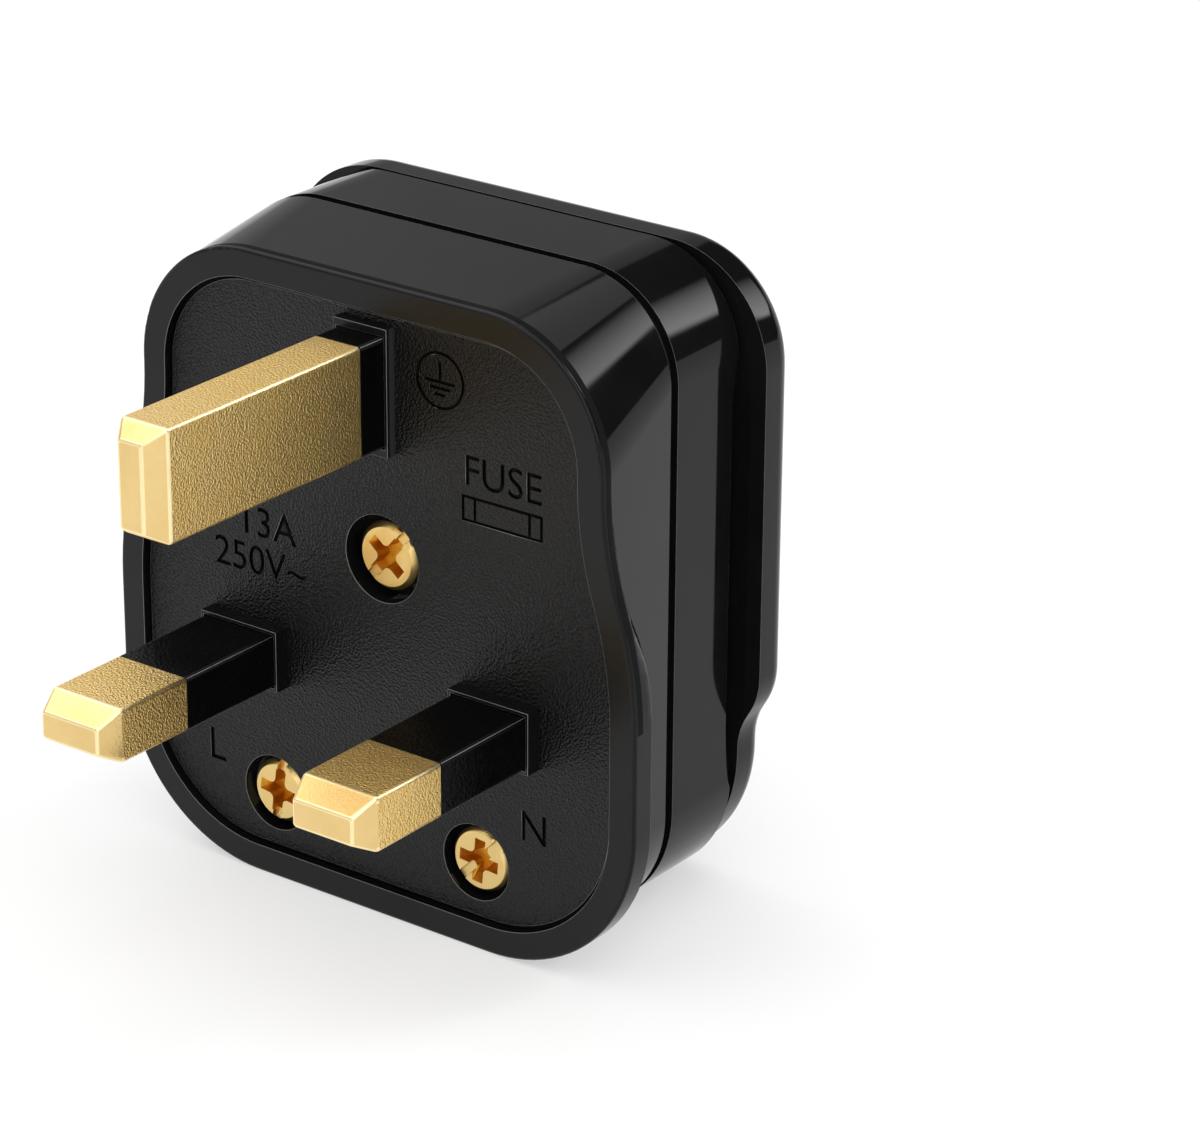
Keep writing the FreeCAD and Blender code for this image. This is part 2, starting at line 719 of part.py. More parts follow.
def make_neutral_pin():
    body = new_body("neutral_pin")
    live_blade(body, live_side)
    pad_back(body, "post", shoulder_top, dim.post_top, lambda sk: centred_box(
        sk, live_side, dim.pin_line, dim.neutral_post_wide, dim.neutral_post_tall))
    screw_and_wire_holes(body, live_side, dim.pin_line, dim.neutral_post_tall)
    return body


def sleeve(label, x, height, wide, tall, reach):
    body = new_body(label)
    half = wide / 2
    rise = tall / 2
    pad_back(body, "skin", -reach, floor_in, lambda sk: rounded_box(
        sk, x - half, height - rise, x + half, height + rise, dim.blade_round, dim.blade_round))
    cut_back(body, "core", -reach, floor_in, lambda sk: centred_box(
        sk, x, height, wide - dim.sleeve_wall * 2, tall - dim.sleeve_wall * 2))
    return body


def make_earth_sleeve():
    return sleeve("earth_pin_sleeve", zero, earth_height, dim.earth_wide, dim.earth_tall,
                  dim.earth_sleeve_reach)


def make_live_sleeve(label, x):
    return sleeve(label, x, dim.pin_line, dim.live_wide, dim.live_tall, dim.live_sleeve_reach)


# Terminal block of the line wire
def make_line_terminal():
    body = new_body("line_terminal")
    low = upper_clip_height - dim.line_block_tall / 2
    pad_back(body, "block", floor_in, dim.post_top, lambda sk: box(
        sk, -dim.line_block_left, low, -dim.line_block_right, low + dim.line_block_tall))
    screw_and_wire_holes(body, line_block_middle, upper_clip_height, dim.line_block_tall)
    return body


# Screws, nuts and the insert
def make_terminal_screw(label, x, height):
    body = new_body(label)
    shank = dim.terminal_screw / 2
    head = dim.terminal_head / 2
    top = dim.post_top + dim.terminal_head_thick
    tip = wire_depth + dim.wire_hole / 2
    turn(body, "screw", x, height, [
        (0, tip), (shank, tip), (shank, dim.post_top), (head, dim.post_top), (head, top - dim.head_bevel),
        (head - dim.head_bevel, top), (0, top)])
    return body


def make_face_screw(label, x, height, head, shank, seat, end):
    body = new_body(label)
    front = seat - dim.screw_head_thick
    turn(body, "screw", x, height, [
        (0, front), (head / 2 - dim.head_bevel, front), (head / 2, front + dim.head_bevel), (head / 2, seat),
        (shank / 2, seat), (shank / 2, end - dim.screw_end), (shank / 2 - dim.screw_end, end), (0, end)])
    return body


def make_insert():
    body = new_body("cover_screw_insert")
    inner = dim.cover_screw_wide / 2 + dim.slide_gap
    outer = dim.insert_wide / 2
    turn(body, "insert", dim.cover_screw_side, cover_screw_height, [
        (inner, insert_front), (outer, insert_front), (outer, insert_end), (inner, insert_end)])
    return body


def make_nut(label, x):
    body = new_body(label)
    corner = dim.nut_flats / math.sqrt(3)
    corners = []
    for i in range(6):
        turned = math.radians(60 * i)
        corners.append((x + corner * math.cos(turned), grip_height + corner * math.sin(turned)))
    pad_back(body, "hexagon", nut_seat, nut_seat + dim.nut_thick, lambda sk: polygon(sk, corners))
    cut_back(body, "bore", nut_seat, nut_seat + dim.nut_thick, lambda sk: circle(
        sk, x, grip_height, dim.grip_screw_wide + dim.slide_gap * 2))
    return body


# Bar that clamps the cord
def make_grip_bar():
    body = new_body("cord_grip_bar")
    low = grip_height - dim.grip_bar_tall / 2
    saddle = grip_seat - dim.grip_saddle_drop
    pad_up(body, "bar", low, low + dim.grip_bar_tall, lambda sk: polygon(sk, [
        (-dim.grip_bar_half, grip_seat), (-dim.grip_saddle_half, grip_seat), (-dim.grip_saddle_half, saddle),
        (dim.grip_saddle_half, saddle), (dim.grip_saddle_half, grip_seat), (dim.grip_bar_half, grip_seat),
        (dim.grip_bar_half, nut_seat), (-dim.grip_bar_half, nut_seat)]))
    cut_up(body, "saddle_hollow", low, low + dim.grip_bar_tall, lambda sk: circle(
        sk, 0, saddle + dim.grip_saddle_hollow - dim.grip_saddle_bore / 2, dim.grip_saddle_bore))
    cut_back(body, "screw_holes", grip_seat, nut_seat, lambda sk: mirrored_circles(
        sk, dim.grip_screw_side, grip_height, dim.grip_screw_wide + dim.shank_gap * 2))
    return body


# Cartridge fuse and the clips that hold it
def make_tube():
    body = new_body("fuse_tube")
    pad_up(body, "tube", fuse_inner_low, fuse_inner_top, lambda sk: circle(
        sk, -dim.fuse_left, fuse_depth, dim.fuse_wide - dim.cap_wall * 2 - dim.slide_gap * 2))
    cut_up(body, "bore", fuse_inner_low, fuse_inner_top, lambda sk: circle(
        sk, -dim.fuse_left, fuse_depth, dim.tube_bore))
    return body


def make_cap(label, low, hollow_low):
    body = new_body(label)
    pad_up(body, "cap", low, low + dim.cap_long, lambda sk: circle(
        sk, -dim.fuse_left, fuse_depth, dim.fuse_wide))
    cut_up(body, "hollow", hollow_low, hollow_low + dim.cap_long - dim.cap_end, lambda sk: circle(
        sk, -dim.fuse_left, fuse_depth, dim.fuse_wide - dim.cap_wall * 2))
    return body


def make_element():
    body = new_body("fuse_element")
    pad_up(body, "wire", fuse_inner_low, fuse_inner_top, lambda sk: circle(
        sk, -dim.fuse_left, fuse_depth, dim.element_wide))
    return body


def clip_ring(sk):
    """A ring round the fuse that is open at the rear."""
    x, y = -dim.fuse_left.value, fuse_depth.value
    inner = dim.fuse_wide / 2 + dim.slide_gap / 2
    outer = inner + dim.clip_thick
    start = half_turn - dim.clip_wrap.value
    stop = full_turn + dim.clip_wrap.value
    outer_arc = sk.addGeometry(arc_piece(x, y, outer.value, start, stop)[0])
    inner_arc = sk.addGeometry(arc_piece(x, y, inner.value, start, stop)[0])
    ends = []
    for angle in (start, stop):
        slope = math.radians(angle)
        ends.append(sk.addGeometry(Part.LineSegment(
            Vector(x + outer.value * math.cos(slope), y + outer.value * math.sin(slope), 0),
            Vector(x + inner.value * math.cos(slope), y + inner.value * math.sin(slope), 0))))
    for line, point in zip(ends, (1, 2)):
        hold(sk, "Coincident", outer_arc, point, line, 1)
        hold(sk, "Coincident", inner_arc, point, line, 2)
    hold(sk, "Coincident", inner_arc, 3, outer_arc, 3)
    across(sk, outer_arc, 3, -dim.fuse_left)
    along(sk, outer_arc, 3, fuse_depth)
    measure(sk, "Radius", outer_arc, outer)
    measure(sk, "Radius", inner_arc, inner)
    lip = Size(math.sin(math.radians(dim.clip_wrap.value)), "sin(%s * 1 deg)" % dim.clip_wrap.text)
    for point in (1, 2):
        along(sk, outer_arc, point, fuse_depth + outer * lip)
        along(sk, inner_arc, point, fuse_depth + inner * lip)


def make_clip(label, height, foot_right):
    body = new_body(label)
    low = height - dim.clip_long / 2
    pad_up(body, "ring", low, low + dim.clip_long, clip_ring)
    pad_up(body, "foot", low, low + dim.clip_long, lambda sk: box(
        sk, -dim.fuse_left - dim.clip_foot_wide / 2, platform_top, foot_right,
        platform_top + dim.clip_foot_thick + dim.clip_thick / 2))
    return body


bodies = [
    make_base(),
    make_cover(),
    make_earth_pin(),
    make_line_pin(),
    make_neutral_pin(),
    make_earth_sleeve(),
    make_live_sleeve("line_pin_sleeve", -live_side),
    make_live_sleeve("neutral_pin_sleeve", live_side),
    make_line_terminal(),
    make_terminal_screw("earth_terminal_screw", zero, earth_height),
    make_terminal_screw("line_terminal_screw", line_block_middle, upper_clip_height),
    make_terminal_screw("neutral_terminal_screw", live_side, dim.pin_line),
    make_clip("fuse_clip_lower", clip_height, dim.clip_foot_wide / 2 - dim.fuse_left),
    make_clip("fuse_clip_upper", upper_clip_height, -dim.line_block_left),
    make_tube(),
    make_cap("fuse_cap_lower", dim.fuse_low, fuse_inner_low),
    make_cap("fuse_cap_upper", upper_cap_low, upper_cap_low),
    make_element(),
    make_face_screw("cover_screw", dim.cover_screw_side, cover_screw_height, dim.cover_screw_head,
                    dim.cover_screw_wide, dim.cover_screw_seat, insert_end - dim.screw_end),
    make_insert(),
    make_grip_bar(),
]
for name, side in (("left", -dim.grip_screw_side), ("right", dim.grip_screw_side)):
    bodies.append(make_face_screw("cord_grip_screw_" + name, side, grip_height, dim.grip_screw_head,
                                  dim.grip_screw_wide, dim.grip_screw_seat, grip_end))
    bodies.append(make_nut("cord_grip_nut_" + name, side))

doc.recompute()

# Every object has to be sound before anything is written
faults = [item.Name for item in doc.Objects if "Invalid" in item.State or "Error" in item.State]
faults += [body.Label for body in bodies if body.Shape.isNull() or not body.Shape.isValid()]
faults += [body.Label for body in bodies if len(body.Shape.Solids) != 1]
if faults:
    raise RuntimeError("unsound: " + ", ".join(faults))

os.makedirs("parts", exist_ok=True)
for body in bodies:
    body.Shape.exportStep("parts/%s.step" % body.Label)
    print(body.Label, round(body.Shape.Volume, 3))
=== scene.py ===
"""Looks of a three pin plug: black mouldings with engraved marks, brass blades and screws."""

import json
import math

import bmesh
import bpy
from mathutils import Matrix, Quaternion, Vector


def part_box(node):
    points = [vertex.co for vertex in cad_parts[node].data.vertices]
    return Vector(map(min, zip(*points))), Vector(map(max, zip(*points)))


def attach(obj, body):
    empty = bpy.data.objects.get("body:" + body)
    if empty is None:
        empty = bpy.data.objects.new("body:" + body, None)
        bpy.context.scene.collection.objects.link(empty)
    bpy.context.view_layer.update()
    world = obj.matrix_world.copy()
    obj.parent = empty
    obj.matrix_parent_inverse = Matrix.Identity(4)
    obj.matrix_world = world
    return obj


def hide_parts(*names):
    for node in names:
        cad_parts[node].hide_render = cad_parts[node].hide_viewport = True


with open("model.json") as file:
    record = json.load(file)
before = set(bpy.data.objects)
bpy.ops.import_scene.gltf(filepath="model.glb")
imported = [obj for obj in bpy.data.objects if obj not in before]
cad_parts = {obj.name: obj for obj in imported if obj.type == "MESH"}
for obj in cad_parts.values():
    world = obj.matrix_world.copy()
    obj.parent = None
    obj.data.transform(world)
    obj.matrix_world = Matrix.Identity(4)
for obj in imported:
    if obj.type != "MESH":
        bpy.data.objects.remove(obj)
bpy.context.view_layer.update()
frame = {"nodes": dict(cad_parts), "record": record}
scene = bpy.context.scene
mm = 0.001

# Places on the mouldings along Y
mounts = {mount["name"]: mount for mount in frame["record"]["mounts"]}
rim_y = mounts["pin_face"]["pos_m"][1]
panel_y = rim_y + 0.5 * mm
live_collar_y = rim_y - 0.8 * mm
earth_collar_y = rim_y - 0.35 * mm
flange_back_y = rim_y + 1.9 * mm
shell_start_y = rim_y + 0.9 * mm
groove_front_y = rim_y + 9.05 * mm
groove_rear_y = rim_y + 9.85 * mm
scoop_front_y = rim_y + 16.15 * mm
neck_front_y = rim_y + 16.85 * mm
plate_front_y = rim_y + 17.3 * mm
rear_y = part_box("cover")[1].y
near = 0.02 * mm

# The shell of the base where it starts and at the groove
shell_half = (20.1 * mm, 19.0 * mm)
shell_top = (47.2 * mm, 48.25 * mm)
shell_round = (9.8 * mm, 7.4 * mm)

# Faces taken as shell: reach below the corners' centres, greatest lean and least agreement of normals
shell_low = 10 * mm
shell_steepest = 0.25
shell_agreement = 0.95

# Finishing of edges and marks
weld = 0.002 * mm
edge_break = 0.1 * mm
mark_deep = 0.2 * mm
channel_deep = 0.3 * mm
stroke = 0.22 * mm
capital_share = 0.73
flat_angle = math.radians(0.1)
smooth_angle = math.radians(32)
sharp_angle = math.radians(40)

# Share of a face's normal along Y when it looks straight along Y, looks partly along Y, or stands along Y
straight = 0.99
partly = 0.5
standing = 0.2

# Material index that marks the faces of broken edges until they get their finish
broken = 1


# Node trees

def place(tree, kind, values=None, links=None, **settings):
    """A new node with its settings, socket values and incoming links."""
    made = tree.nodes.new(kind)
    for name, value in settings.items():
        setattr(made, name, value)
    for name, value in (values or {}).items():
        made.inputs[name].default_value = value
    for name, source in (links or {}).items():
        tree.links.new(source, made.inputs[name])
    return made


def colour_of(red, green, blue):
    """A colour socket's value."""
    return (red, green, blue, 1.0)


def noise(tree, where, size, detail=2.0, roughness=0.5):
    """Soft noise whose blotches are about the given size."""
    values = {"Scale": 1 / size, "Detail": detail, "Roughness": roughness}
    return place(tree, "ShaderNodeTexNoise", values, {"Vector": where}).outputs["Fac"]


def spread(tree, source, low, high, start=0.3, end=0.7):
    """A value that goes from low to high while its source goes from start to end."""
    values = {"From Min": start, "From Max": end, "To Min": low, "To Max": high}
    return place(tree, "ShaderNodeMapRange", values, {"Value": source}).outputs["Result"]


def combine(tree, operation, first, second):
    """Two values put together by a maths operation."""
    return place(tree, "ShaderNodeMath", links={0: first, 1: second}, operation=operation).outputs["Value"]


def finish_of(name, colour, second, rough, metallic=0.0, patch=6 * mm, grain=None, height=0.0, level=0.5):
    """A surface with two close colours in patches, uneven roughness and a grain of the given size and height.

    The level is that of the shine of a surface that isn't metal.
    """
    made = bpy.data.materials.new(name)
    made.use_nodes = True
    tree = made.node_tree
    tree.nodes.clear()
    where = place(tree, "ShaderNodeTexCoord").outputs["Object"]
    patches = noise(tree, where, patch, detail=4.0, roughness=0.6)
    tint = place(tree, "ShaderNodeMix", links={"Factor": spread(tree, patches, 0.0, 1.0)}, data_type="RGBA")
    tint.inputs["A"].default_value = colour_of(*colour)
    tint.inputs["B"].default_value = colour_of(*second)
    links = {"Base Color": tint.outputs["Result"], "Roughness": spread(tree, patches, *rough)}
    if grain:
        cells = place(tree, "ShaderNodeTexVoronoi", {"Scale": 1 / grain, "Smoothness": 0.6},
                      {"Vector": where}, feature="SMOOTH_F1").outputs["Distance"]
        fine = noise(tree, where, grain * 0.8, detail=3.0, roughness=0.6)
        rise = combine(tree, "ADD", cells, fine)
        bump = place(tree, "ShaderNodeBump", {"Strength": 1.0, "Distance": height}, {"Height": rise})
        links["Normal"] = bump.outputs["Normal"]
    values = {"Metallic": metallic, "Specular IOR Level": level}
    shader = place(tree, "ShaderNodeBsdfPrincipled", values, links)
    place(tree, "ShaderNodeOutputMaterial", links={"Surface": shader.outputs["BSDF"]})
    return made


gloss = finish_of("black_gloss", (0.004, 0.004, 0.0044), (0.006, 0.006, 0.0065), (0.05, 0.09), level=0.16)
satin = finish_of("black_satin", (0.004, 0.004, 0.004), (0.006, 0.006, 0.006), (0.28, 0.34), level=0.22,
                  grain=0.25 * mm, height=0.002 * mm)
grained = finish_of("black_grain", (0.002, 0.002, 0.0021), (0.0035, 0.0035, 0.0036), (0.18, 0.24),
                    level=0.25, grain=0.2 * mm, height=0.075 * mm)
coarse = finish_of("black_coarse_grain", (0.008, 0.008, 0.0085), (0.012, 0.012, 0.0125), (0.36, 0.46),
                   grain=0.6 * mm, height=0.11 * mm)
mark_black = finish_of("mark_black", (0.001, 0.001, 0.001), (0.002, 0.002, 0.002), (0.6, 0.7), level=0.1)
sleeve_black = finish_of("sleeve_black", (0.001, 0.001, 0.001), (0.002, 0.002, 0.0022), (0.22, 0.3),
                         level=0.12, grain=0.22 * mm, height=0.03 * mm)
# Pale grey for the rounded edges of the black parts: a painted highlight along each edge.
painted_edge_highlight = finish_of("painted_edge_highlight", (0.12, 0.12, 0.123), (0.15, 0.15, 0.154), (0.25, 0.33), level=0.8)
grip_black = finish_of("grip_black", (0.014, 0.014, 0.014), (0.02, 0.02, 0.02), (0.45, 0.55),
                       grain=0.3 * mm, height=0.01 * mm)
brass = finish_of("brass", (0.93, 0.66, 0.26), (0.85, 0.58, 0.2), (0.36, 0.44), metallic=1.0, patch=3 * mm,
                  grain=0.17 * mm, height=0.045 * mm)
brass_tip = finish_of("brass_tip", (0.82, 0.6, 0.27), (0.76, 0.54, 0.22), (0.3, 0.38), metallic=1.0,
                      patch=3 * mm, grain=0.17 * mm, height=0.01 * mm)
# Paler brass for the blades' edges: a painted highlight.
painted_brass_highlight = finish_of("painted_brass_highlight", (1.0, 0.84, 0.48), (0.97, 0.79, 0.42), (0.34, 0.42), metallic=1.0,
                       patch=1 * mm)
screw_brass = finish_of("screw_brass", (0.84, 0.62, 0.26), (0.8, 0.57, 0.22), (0.28, 0.36), metallic=1.0,
                        patch=1 * mm, grain=0.2 * mm, height=0.003 * mm)
# Darker, deeper amber brass for the cross and the slot's walls: painted shade in the recesses.
painted_shade_brass = finish_of("painted_shade_brass", (0.75, 0.38, 0.04), (0.6, 0.28, 0.02), (0.4, 0.5), metallic=1.0,
                         patch=0.6 * mm)
clip_metal = finish_of("clip_metal", (0.7, 0.68, 0.63), (0.6, 0.58, 0.54), (0.24, 0.36), metallic=1.0,
                       patch=2 * mm)
plated_steel = finish_of("plated_steel", (0.62, 0.62, 0.62), (0.52, 0.52, 0.53), (0.26, 0.38), metallic=1.0,
                         patch=2 * mm)
ceramic = finish_of("ceramic", (0.76, 0.74, 0.68), (0.7, 0.67, 0.6), (0.35, 0.45), patch=2 * mm)


# Meshes

def linked(data, name):
    """A scene object for a mesh, a curve, a lamp or a camera."""
    made = bpy.data.objects.new(name, data)
    scene.collection.objects.link(made)
    return made


def final_mesh(item):
    """The mesh of an object with its modifiers done."""
    return bpy.data.meshes.new_from_object(item.evaluated_get(bpy.context.evaluated_depsgraph_get()))


def piece_for(node):
    """A piece that stands for a CAD node, with the node's faces welded."""
    made = bmesh.new()
    made.from_mesh(frame["nodes"][node].data)
    bmesh.ops.remove_doubles(made, verts=made.verts, dist=weld)
    data = bpy.data.meshes.new(node + "_dressed")
    made.to_mesh(data)
    made.free()
    piece = linked(data, node + "_dressed")
    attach(piece, "root")
    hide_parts(node)
    return piece


def cut(piece, cutters):
    """Takes each cutter out of a piece and deletes it."""
    for cutter in cutters:
        bpy.context.view_layer.update()
        taken = piece.modifiers.new("cut", "BOOLEAN")
        taken.operation = "DIFFERENCE"
        taken.solver = "EXACT"
        taken.object = cutter
        bpy.context.view_layer.update()
        shaped = final_mesh(piece)
        piece.modifiers.clear()
        shaped.name = piece.data.name
        piece.data = shaped
        bpy.data.objects.remove(cutter)


def dress(piece, materials, choose):
    """Gives each face its material and smooth shading between sharp edges."""
    data = piece.data
    chosen = [materials.index(choose(face)) for face in data.polygons]
    data.materials.clear()
    for one in materials:
        data.materials.append(one)
    for face, index in zip(data.polygons, chosen):
        face.material_index = index
        face.use_smooth = True
    data.set_sharp_from_angle(angle=smooth_angle)
    weighted = piece.modifiers.new("flat_faces", "WEIGHTED_NORMAL")
    weighted.keep_sharp = True
    shaped = final_mesh(piece)
    piece.modifiers.clear()
    shaped.name = data.name
    piece.data = shaped


def with_flats_joined(piece):
    """A copy of the piece's mesh, for editing, in which each flat area is one unmarked face."""
    made = bmesh.new()
    made.from_mesh(piece.data)
    bmesh.ops.dissolve_limit(made, angle_limit=flat_angle, verts=made.verts, edges=made.edges)
    for face in made.faces:
        face.material_index = 0
    return made


def join_flats(piece):
    """Makes each flat area of a piece one face."""
    made = with_flats_joined(piece)
    made.to_mesh(piece.data)
    made.free()


def break_edges(piece, wanted, width=edge_break, sharper=sharp_angle):
    """Joins flat areas, then rounds the sharp outer edges that wanted picks and marks the new faces."""
    made = with_flats_joined(piece)
    picked = []
    for edge in made.edges:
        outer = len(edge.link_faces) == 2 and edge.is_convex and edge.calc_face_angle() > sharper
        if outer and wanted(edge):
            picked.append(edge)
    rounded = bmesh.ops.bevel(made, geom=picked, offset=width, segments=2, profile=0.5, affect="EDGES",
                              clamp_overlap=True)
    for face in rounded["faces"]:
        face.material_index = broken
    made.to_mesh(piece.data)
    made.free()


def at_level(edge, levels):
    """Both ends of the edge lie at one of the levels along Y."""
    return any(all(abs(corner.co.y - level) < near for corner in edge.verts) for level in levels)


# Cutters for marks and recesses

def prism(outline, front, back, name, shrink=1.0):
    """A cutter with the outline in X and Z from front to back, the back scaled about the outline's middle."""
    made = bmesh.new()
    middle_x = sum(x for x, z in outline) / len(outline)
    middle_z = sum(z for x, z in outline) / len(outline)
    first = [made.verts.new((x, front, z)) for x, z in outline]
    last = []
    for x, z in outline:
        inner_x = middle_x + (x - middle_x) * shrink
        inner_z = middle_z + (z - middle_z) * shrink
        last.append(made.verts.new((inner_x, back, inner_z)))
    made.faces.new(first)
    made.faces.new(list(reversed(last)))
    for index in range(len(outline)):
        after = (index + 1) % len(outline)
        made.faces.new((first[index], last[index], last[after], first[after]))
    bmesh.ops.recalc_face_normals(made, faces=made.faces)
    data = bpy.data.meshes.new(name)
    made.to_mesh(data)
    made.free()
    return linked(data, name)


def bar(x0, z0, x1, z1, wide):
    """The outline of a straight stroke."""
    along = Vector((x1 - x0, z1 - z0)).normalized() * wide / 2
    side = Vector((-along.y, along.x))
    ends = [(x0, z0, -1, 1), (x1, z1, 1, 1), (x1, z1, 1, -1), (x0, z0, -1, -1)]
    return [(x + along.x * a + side.x * b, z + along.y * a + side.y * b) for x, z, a, b in ends]


def words(text, x, z, tall, level, rear=False):
    """A cutter in the shape of words centred on a place of a flat face, with capitals of the given height."""
    letters = bpy.data.curves.new("words", "FONT")
    letters.body = text
    letters.size = tall / capital_share
    letters.align_x = "CENTER"
    letters.align_y = "CENTER"
    letters.extrude = mark_deep
    letters.resolution_u = 4
    writing = linked(letters, "words")
    bpy.context.view_layer.update()
    data = final_mesh(writing)
    bpy.data.objects.remove(writing)
    turn = Matrix.Rotation(math.radians(90), 4, "X")
    if rear:
        turn = Matrix.Rotation(math.pi, 4, "Z") @ turn
    data.transform(Matrix.Translation((x, level, z)) @ turn)
    made = bmesh.new()
    made.from_mesh(data)
    bmesh.ops.remove_doubles(made, verts=made.verts, dist=weld / 4)
    made.to_mesh(data)
    made.free()
    return linked(data, "words")


def strokes(lines, level):
    """Cutters for straight engraved strokes."""
    return [prism(bar(*line, stroke), level - mark_deep, level + mark_deep, "stroke") for line in lines]


def ring(x, z, radius, level, steps=48):
    """A cutter for an engraved circle."""
    made = bmesh.new()
    rows = []
    for index in range(steps):
        turn = 2 * math.pi * index / steps
        row = []
        for reach, depth in ((-1, -1), (1, -1), (1, 1), (-1, 1)):
            distance = radius + reach * stroke / 2
            spot = (x + distance * math.cos(turn), level + depth * mark_deep, z + distance * math.sin(turn))
            row.append(made.verts.new(spot))
        rows.append(row)
    for index in range(steps):
        here = rows[index]
        there = rows[(index + 1) % steps]
        for corner in range(4):
            other = (corner + 1) % 4
            made.faces.new((here[corner], there[corner], there[other], here[other]))
    bmesh.ops.recalc_face_normals(made, faces=made.faces)
    data = bpy.data.meshes.new("ring")
    made.to_mesh(data)
    made.free()
    return linked(data, "ring")


# Base

def shell_normal(spot):
    """The normal of the base's shell, a rounded box that changes evenly along Y, or None away from it."""
    along = (spot.y - shell_start_y) / (groove_front_y - shell_start_y)
    half_step = shell_half[1] - shell_half[0]
    top_step = shell_top[1] - shell_top[0]
    radius_step = shell_round[1] - shell_round[0]
    half = shell_half[0] + along * half_step
    top = shell_top[0] + along * top_step
    radius = shell_round[0] + along * radius_step
    out = Vector((abs(spot.x) - half + radius, spot.z - top + radius))
    if out.y < -shell_low:
        return None
    out = Vector((max(out.x, 0), max(out.y, 0)))
    if abs(out.length - radius) > 2 * near:
        return None
    out.normalize()
    rise = out.x * (half_step - radius_step) + out.y * (top_step - radius_step) + radius_step
    tilt = -rise / (groove_front_y - shell_start_y)
    return Vector((math.copysign(out.x, spot.x), tilt, out.y)).normalized()


def smooth_shell(piece):
    """Sets even normals on the base's shell."""
    data = piece.data
    normals = [Vector(corner.vector) for corner in data.corner_normals]
    for face in data.polygons:
        if not shell_start_y - near < face.center.y < groove_front_y or abs(face.normal.y) > shell_steepest:
            continue
        for index in face.loop_indices:
            exact = shell_normal(data.vertices[data.loops[index].vertex_index].co)
            if exact and exact.dot(face.normal) > shell_agreement:
                normals[index] = exact
    data.normals_split_custom_set(normals)


def engraved(edge):
    """The edge belongs to a mark."""
    return any(abs(face.calc_center_median().y - panel_y - mark_deep / 2) < near for face in edge.link_faces)


def base_face(face):
    """The finish of one face of the base."""
    depth = face.center.y - panel_y
    # Rounded edges get the pale grey painted highlight.
    if face.material_index == broken:
        return painted_edge_highlight
    if face.normal.y < -straight and abs(depth) < near:
        return grained
    if near < depth < channel_deep + near and (face.normal.y < -straight or abs(face.normal.y) < standing):
        return mark_black
    if face.normal.y < -partly and face.center.y < rim_y + near:
        return satin
    return gloss


# Fuse sign: a long box with two ends
fuse_x = 11.4 * mm
fuse_z = 32.7 * mm
fuse_half = 3.3 * mm
fuse_half_tall = 0.85 * mm
fuse_cap = 1.0 * mm
fuse_lines = [
    (fuse_x - fuse_half, fuse_z + fuse_half_tall, fuse_x + fuse_half, fuse_z + fuse_half_tall),
    (fuse_x - fuse_half, fuse_z - fuse_half_tall, fuse_x + fuse_half, fuse_z - fuse_half_tall),
]
for reach in (-fuse_half, fuse_cap - fuse_half, fuse_half - fuse_cap, fuse_half):
    fuse_lines.append((fuse_x + reach, fuse_z - fuse_half_tall, fuse_x + reach, fuse_z + fuse_half_tall))

# Earth sign: a circled stem on three bars, each with its half length and its drop below the middle in mm
earth_x = 6.2 * mm
earth_z = 41.3 * mm
earth_radius = 1.95 * mm
earth_stem = 1.2 * mm
earth_bars = ((1.15, 0.1), (0.75, 0.55), (0.35, 1.0))
earth_lines = [(earth_x, earth_z - earth_bars[0][1] * mm, earth_x, earth_z + earth_stem)]
for half, drop in earth_bars:
    earth_lines.append((earth_x - half * mm, earth_z - drop * mm, earth_x + half * mm, earth_z - drop * mm))

# Words on the panel: their middle's X and Z and the height of their capitals in mm
front_words = (
    ("13A", -9.35, 26.95, 2.35),
    ("250V~", -10.05, 24.0, 2.3),
    ("FUSE", 11.45, 35.35, 2.3),
    ("L", -14.55, 8.6, 2.6),
    ("N", 14.1, 10.4, 2.4),
)

base = piece_for("base")
front_marks = [words(text, x * mm, z * mm, tall * mm, panel_y) for text, x, z, tall in front_words]
front_marks += strokes(fuse_lines + earth_lines, panel_y)
front_marks.append(ring(earth_x, earth_z, earth_radius, panel_y))
cut(base, front_marks)
base_levels = (live_collar_y, earth_collar_y, rim_y, panel_y, flange_back_y, groove_front_y)
break_edges(base, lambda edge: at_level(edge, base_levels) and not engraved(edge))
dress(base, [gloss, satin, grained, mark_black, painted_edge_highlight], base_face)
smooth_shell(base)


# Cover

def cover_face(face):
    """The finish of one face of the cover."""
    depth = rear_y - face.center.y
    # Rounded edges get the pale grey painted highlight.
    if face.material_index == broken:
        return painted_edge_highlight
    if face.normal.y > straight and abs(depth) < near:
        return coarse
    if face.normal.y > straight and abs(depth - mark_deep) < near:
        return mark_black
    return gloss


rear_word_x = -0.5 * mm
rear_word_z = 8.9 * mm
rear_word_tall = 3.4 * mm
cover = piece_for("cover")
cut(cover, [words("FUSED", rear_word_x, rear_word_z, rear_word_tall, rear_y, rear=True)])
cover_levels = (groove_rear_y, scoop_front_y, neck_front_y, plate_front_y)
break_edges(cover, lambda edge: at_level(edge, cover_levels))
dress(cover, [gloss, coarse, mark_black, painted_edge_highlight], cover_face)


# Screws

slot_wide = 0.7 * mm
slot_half_long = 3 * mm
slot_deep = 0.4 * mm
cross_half_long = 1.7 * mm
cross_half_wide = 0.46 * mm
cross_lobe = 0.42 * mm
cross_deep = 1.1 * mm
cross_taper = 0.75
recess_start = 0.1 * mm
recess_end = 1.2 * mm
head_margin = 0.15 * mm
cutter_clear = 0.1 * mm
slot_floor_facing = 0.9
slot_wall_facing = 0.3


